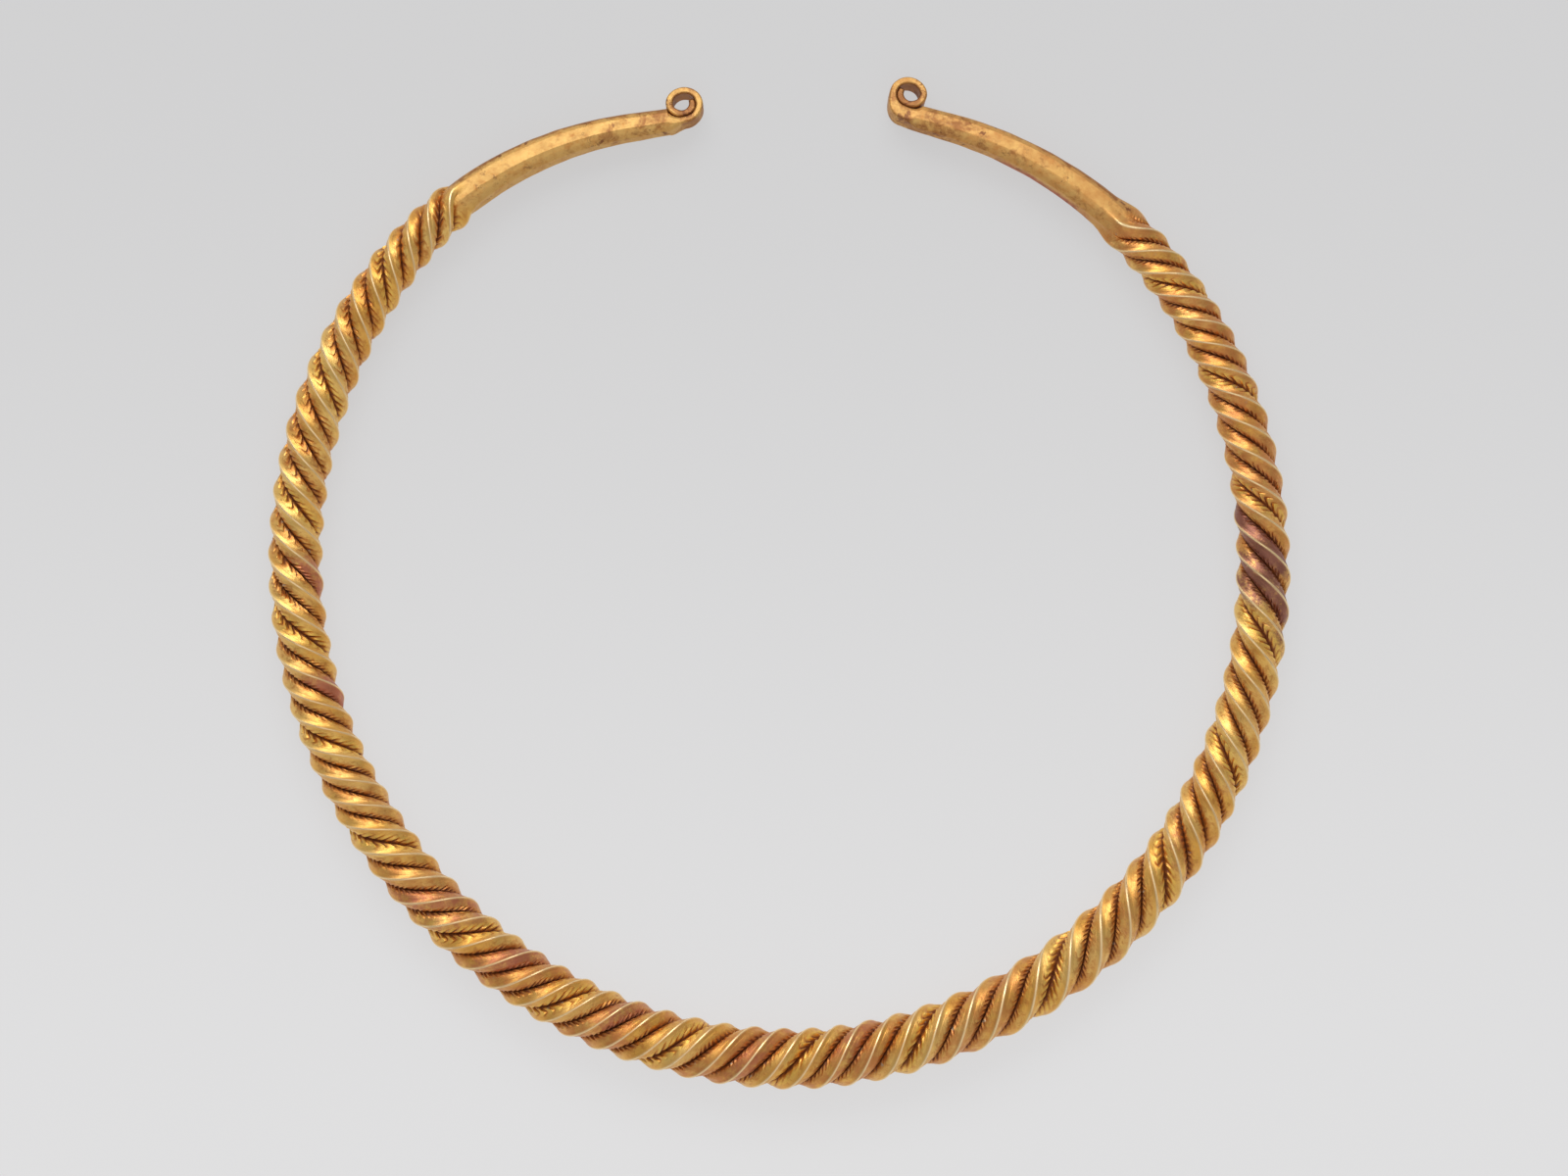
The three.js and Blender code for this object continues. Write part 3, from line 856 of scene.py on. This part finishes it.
def with_wear_dirt_and_painted_light(n, colour, mark, grain, shade_and_dirt, grit):
    """Painted highlight on the leaves, painted shade with dirt in the brown grooves, crests rubbed pale
    with a painted highlight, and specks of earth.
    """
    # Painted highlight: the leaves of the open groove are painted bright yellow.
    leaf = n.math("MULTIPLY", mark["leaf"], n.ramp(grain["mottle"], 0.3, 0.6, 0.35, 0.85))
    colour = n.mix(leaf, colour, LEAF_HIGHLIGHT_GOLD)
    # Painted shade with dirt: the lowest places turn groove brown.
    colour = n.mix(shade_and_dirt, colour, GROOVE_SHADE_AND_DIRT)
    # Crests rubbed pale, and painted paler still as a highlight.
    worn_and_highlight = n.ramp(mark["arris"], 0.45, 1.0)
    worn_and_highlight = n.math("MULTIPLY", worn_and_highlight, n.ramp(grain["mottle"], 0.2, 0.5, 0.4, 1.0))
    colour = n.mix(worn_and_highlight, colour, CREST_WEAR_AND_HIGHLIGHT)
    return n.mix(grit, colour, EARTH)


def roughness(n, mark, grain, shade_and_dirt):
    """Duller in dirt and on the plain ends, and a little glossier on the crests."""
    rough = n.ramp(grain["mottle"], 0.3, 0.75, 0.38, 0.54)
    rough = n.math("ADD", rough, n.math("MULTIPLY", shade_and_dirt, 0.25))
    rough = n.math("ADD", rough, n.math("MULTIPLY", mark["plain"], 0.17))
    return n.math("SUBTRACT", rough, n.math("MULTIPLY", mark["arris"], 0.06))


def surface_bump(n, mark, grain):
    """Pitting everywhere, streaks on the ridges' flanks, and fine barbs in the hollows."""
    height = n.math("MULTIPLY", grain["fine"], 0.3)
    height = n.math("ADD", height, n.math("MULTIPLY", grain["mottle"], 0.1))
    flank = n.ramp(n.math("ADD", mark["arris"], mark["plain"]), 0.1, 0.0)
    streaks = n.math("MULTIPLY", grain["streak"], flank)
    height = n.math("ADD", height, n.math("MULTIPLY", streaks, 0.4))
    barbs = n.math("MULTIPLY", grain["barb"], n.ramp(mark["cavity"], 0.02, 0.2))
    height = n.math("ADD", height, n.math("MULTIPLY", barbs, 0.6))
    bump = n.add("Bump")
    bump.inputs["Strength"].default_value = 0.5
    bump.inputs["Distance"].default_value = BUMP_DEPTH
    n.link(height, bump.inputs["Height"])
    return bump.outputs["Normal"]


def gold_material():
    material = bpy.data.materials.new("old_gold")
    n = Nodes(material)
    mark = {name: n.attribute(name) for name in MARKS}
    grain = {
        "broad": n.noise(110, 4),
        "mottle": n.noise(520, 6, 0.66),
        "fine": n.noise(2600, 5, 0.65),
        "streak": n.grain((0.22, 2.6, 1.0), 3),
        "barb": n.grain((2.2, 0.7, 1.0), 2),
    }
    low = lowness(n, mark, grain)
    # Painted shade and dirt: the lowest places turn brown, rougher and less metallic.
    shade_and_dirt = n.ramp(low, 0.55, 1.0)
    grit = n.ramp(n.noise(900, 2, 0.5), 0.69, 0.73)
    grit = n.math("MULTIPLY", grit, n.ramp(mark["cavity"], 0.2, 0.5, 0.15, 0.8))

    colour = base_gold(n, mark, grain)
    colour = with_tarnish(n, colour, mark, grain, low)
    colour = with_stains(n, colour, mark, grain)
    colour = with_film(n, colour, mark, grain)
    colour = with_wear_dirt_and_painted_light(n, colour, mark, grain, shade_and_dirt, grit)
    metal = n.math("SUBTRACT", 1.0, n.math("MULTIPLY", n.math("MAXIMUM", shade_and_dirt, grit), 0.55))

    shader = n.add("BsdfPrincipled")
    n.link(colour, shader.inputs["Base Color"])
    n.link(roughness(n, mark, grain, shade_and_dirt), shader.inputs["Roughness"])
    n.link(metal, shader.inputs["Metallic"])
    shader.inputs["Coat Weight"].default_value = 0.25
    shader.inputs["Coat Roughness"].default_value = 0.3
    n.link(surface_bump(n, mark, grain), shader.inputs["Normal"])
    output = n.add("OutputMaterial")
    n.link(shader.outputs[0], output.inputs["Surface"])
    return material


# ---------------------------------------------------------------- floor, light and camera

# The floor, in metres. It is pale mostly by its own glow, which falls off a little toward the back.
FLOOR_HALF = 3.0
FLOOR_GAP = 0.00005
FLOOR_GREY = 0.14
FLOOR_GLOW_FRONT = 0.632
FLOOR_GLOW_FALL = 0.11
FLOOR_FALL_HALF = 0.1


def floor_material():
    material = bpy.data.materials.new("pale_floor")
    n = Nodes(material)
    shader = n.add("BsdfPrincipled")
    place = n.add("SeparateXYZ")
    n.link(n.add("TexCoord").outputs["Object"], place.inputs[0])
    toward_back = n.ramp(place.outputs["Y"], -FLOOR_FALL_HALF, FLOOR_FALL_HALF)
    shader.inputs["Base Color"].default_value = (FLOOR_GREY, FLOOR_GREY, FLOOR_GREY, 1)
    shader.inputs["Roughness"].default_value = 0.9
    shader.inputs["Specular IOR Level"].default_value = 0.1
    shader.inputs["Emission Color"].default_value = (1.0, 0.995, 1.0, 1)
    glow = n.math("SUBTRACT", FLOOR_GLOW_FRONT, n.math("MULTIPLY", toward_back, FLOOR_GLOW_FALL))
    n.link(glow, shader.inputs["Emission Strength"])
    output = n.add("OutputMaterial")
    n.link(shader.outputs[0], output.inputs["Surface"])
    return material


def make_floor():
    half = FLOOR_HALF
    corners = [(-half, -half, 0), (half, -half, 0), (half, half, 0), (-half, half, 0)]
    mesh = bpy.data.meshes.new("floor")
    mesh.from_pydata(corners, [], [(0, 1, 2, 3)])
    floor = bpy.data.objects.new("floor", mesh)
    bpy.context.scene.collection.objects.link(floor)
    floor.location.z = -FLOOR_GAP
    mesh.materials.append(floor_material())


def add_area(name, place, size, watts):
    """A rectangular light that faces the middle of the ring."""
    light = bpy.data.lights.new(name, "AREA")
    light.shape = "RECTANGLE"
    light.size, light.size_y = size
    light.energy = watts
    lamp = bpy.data.objects.new(name, light)
    bpy.context.scene.collection.objects.link(lamp)
    lamp.location = place
    lamp.rotation_euler = (-Vector(place)).to_track_quat("-Z", "Y").to_euler()


def make_lights():
    world = bpy.data.worlds.new("studio")
    world.use_nodes = True
    background = world.node_tree.nodes["Background"]
    background.inputs["Color"].default_value = (0.96, 0.97, 1.0, 1)
    background.inputs["Strength"].default_value = 0.4
    bpy.context.scene.world = world
    add_area("sky", (-0.3, 1.9, 1.6), (3.6, 2.4), 14)
    add_area("key", (-0.14, 1.0, 1.0), (1.2, 0.7), 7.2)
    add_area("overhead", (0.0, 0.0, 1.7), (1.5, 1.5), 2.4)
    add_area("fill", (0.2, -1.7, 1.3), (3.0, 1.8), 5.0)


LENS = 200
SENSOR_WIDTH = 36
VIEW_WIDTH = 0.2452
VIEW_CENTRE = (0.00072, -0.0008, 0.0043)


def make_camera():
    """A long lens straight above, at the distance where VIEW_WIDTH fills the frame."""
    camera = bpy.data.cameras.new("camera")
    camera.lens = LENS
    camera.sensor_width = SENSOR_WIDTH
    camera.clip_start, camera.clip_end = 0.05, 20
    eye = bpy.data.objects.new("camera", camera)
    bpy.context.scene.collection.objects.link(eye)
    x, y, z = VIEW_CENTRE
    eye.location = (x, y, VIEW_WIDTH * LENS / SENSOR_WIDTH + z)
    bpy.context.scene.camera = eye


skin = make_skin()
skin.data.materials.append(gold_material())
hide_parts("torc")
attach(skin, "root")
make_floor()
make_lights()
make_camera()
bpy.context.scene.view_settings.view_transform = "Standard"
